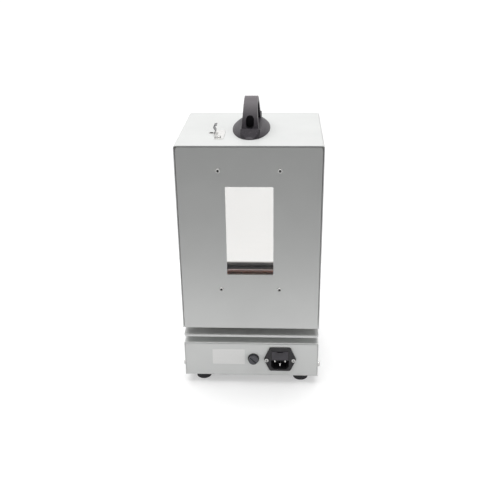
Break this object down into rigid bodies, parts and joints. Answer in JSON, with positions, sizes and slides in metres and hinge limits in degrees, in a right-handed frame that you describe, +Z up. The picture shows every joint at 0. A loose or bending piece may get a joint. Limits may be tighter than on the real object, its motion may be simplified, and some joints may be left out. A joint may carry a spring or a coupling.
{
  "type": "muffle furnace",
  "caption": "Compact bench furnace: a tall insulated chamber with front door and rear window on a control base, with bow handle, probe port and mains inlet.",
  "frame": {"origin": "on the surface the furnace stands on, under the middle of its overall box", "axes": "+Z up, +Y towards the mains inlet at the rear, door at -Y"},
  "size_m": [0.186, 0.213, 0.3754],
  "materials": {
    "paint": "satin powder coat, very light grey",
    "zinc_steel": "zinc plated steel",
    "stainless": "brushed stainless steel",
    "screw_steel": "bright screw steel",
    "spring_steel": "polished spring steel",
    "rubber_black": "black moulded rubber",
    "plastic_black": "black moulded plastic",
    "plastic_dark": "charcoal moulded plastic",
    "plastic_gloss": "glossy black plastic",
    "display": "dark red display window",
    "glass": "clear heat-resistant glass",
    "muffle": "heat-darkened stainless steel",
    "fibre": "ceramic fibre board",
    "heater": "heat-browned tubular heater",
    "ceramic": "unglazed ceramic",
    "seal": "woven glass-fibre rope",
    "nickel": "nickel-plated brass",
    "magnet": "plated magnet",
    "key_plastic": "grey key plastic"
  },
  "bodies": {
    "furnace": {"base_cover": "paint", "base_cover_screws": "screw_steel", "base_pan": "paint", "catch_magnet": "magnet", "chamber_liner": "muffle", "clip_screw": "screw_steel", "controller": "plastic_black", "display_lens": "display", "feet": "rubber_black", "foot_screws": "screw_steel", "front_frame": "stainless", "fuse_holder": "plastic_black", "fuse_holder_nut": "plastic_black", "handle_bow": "plastic_dark", "handle_guard": "plastic_dark", "handle_screws": "screw_steel", "heater_brackets": "muffle", "heater_bushes": "ceramic", "heater_element": "heater", "hinge_body_leaves": "stainless", "hinge_pins": "screw_steel", "housing_floor": "zinc_steel", "housing_wrap": "paint", "inlet_body": "plastic_black", "inlet_pins": "nickel", "inlet_screws": "screw_steel", "insulation_back": "fibre", "insulation_bottom": "fibre", "insulation_sides": "fibre", "insulation_top": "fibre", "limit_thermostat": "nickel", "line_fuse": "nickel", "probe_bush": "stainless", "probe_clip": "spring_steel", "rear_frame_screws": "screw_steel", "rear_glass": "glass", "rear_glass_frame": "stainless", "rear_panel": "paint", "relay": "plastic_black", "shield_plate": "paint", "spacers": "zinc_steel", "switch_frame": "plastic_black", "temperature_sensor": "stainless", "terminal_block": "ceramic", "wire_duct": "zinc_steel"},
    "door": {"door_outer": "paint", "door_inner": "stainless", "door_glass": "glass", "door_seal": "seal", "door_knob": "plastic_black", "catch_keeper": "zinc_steel", "hinge_door_leaves": "stainless"},
    "fuse_tray": {"fuse_drawer": "plastic_dark", "drawer_fuse": "nickel"},
    "fuse_cap": {"fuse_cap": "plastic_black"},
    "rocker": {"switch_rocker": "plastic_gloss"},
    "key_1": {"key_1": "key_plastic"},
    "key_2": {"key_2": "key_plastic"},
    "key_3": {"key_3": "key_plastic"},
    "key_4": {"key_4": "key_plastic"}
  },
  "joints": [
    {"name": "door_hinge", "type": "hinge", "parent": "furnace", "child": "door", "pos_m": [-0.0895, -0.069, 0.20475], "axis": [0, 0, -1], "range_deg": [0, 110]},
    {"name": "fuse_tray_slide", "type": "slide", "parent": "furnace", "child": "fuse_tray", "axis": [0, 1, 0], "range_m": [0, 0.015]},
    {"name": "fuse_cap_turn", "type": "hinge", "parent": "furnace", "child": "fuse_cap", "pos_m": [-0.0029, 0.0995, 0.0394], "axis": [0, -1, 0], "range_deg": [0, 60]},
    {"name": "rocker_tilt", "type": "hinge", "parent": "furnace", "child": "rocker", "pos_m": [0.06, -0.0625, 0.03775], "axis": [-1, 0, 0], "range_deg": [0, 14]},
    {"name": "key_1_press", "type": "slide", "parent": "furnace", "child": "key_1", "axis": [0, 1, 0], "range_m": [0, 0.0006], "stiffness_N_per_m": 300, "springref_m": -0.0005},
    {"name": "key_2_press", "type": "slide", "parent": "furnace", "child": "key_2", "axis": [0, 1, 0], "range_m": [0, 0.0006], "stiffness_N_per_m": 300, "springref_m": -0.0005},
    {"name": "key_3_press", "type": "slide", "parent": "furnace", "child": "key_3", "axis": [0, 1, 0], "range_m": [0, 0.0006], "stiffness_N_per_m": 300, "springref_m": -0.0005},
    {"name": "key_4_press", "type": "slide", "parent": "furnace", "child": "key_4", "axis": [0, 1, 0], "range_m": [0, 0.0006], "stiffness_N_per_m": 300, "springref_m": -0.0005}
  ]
}
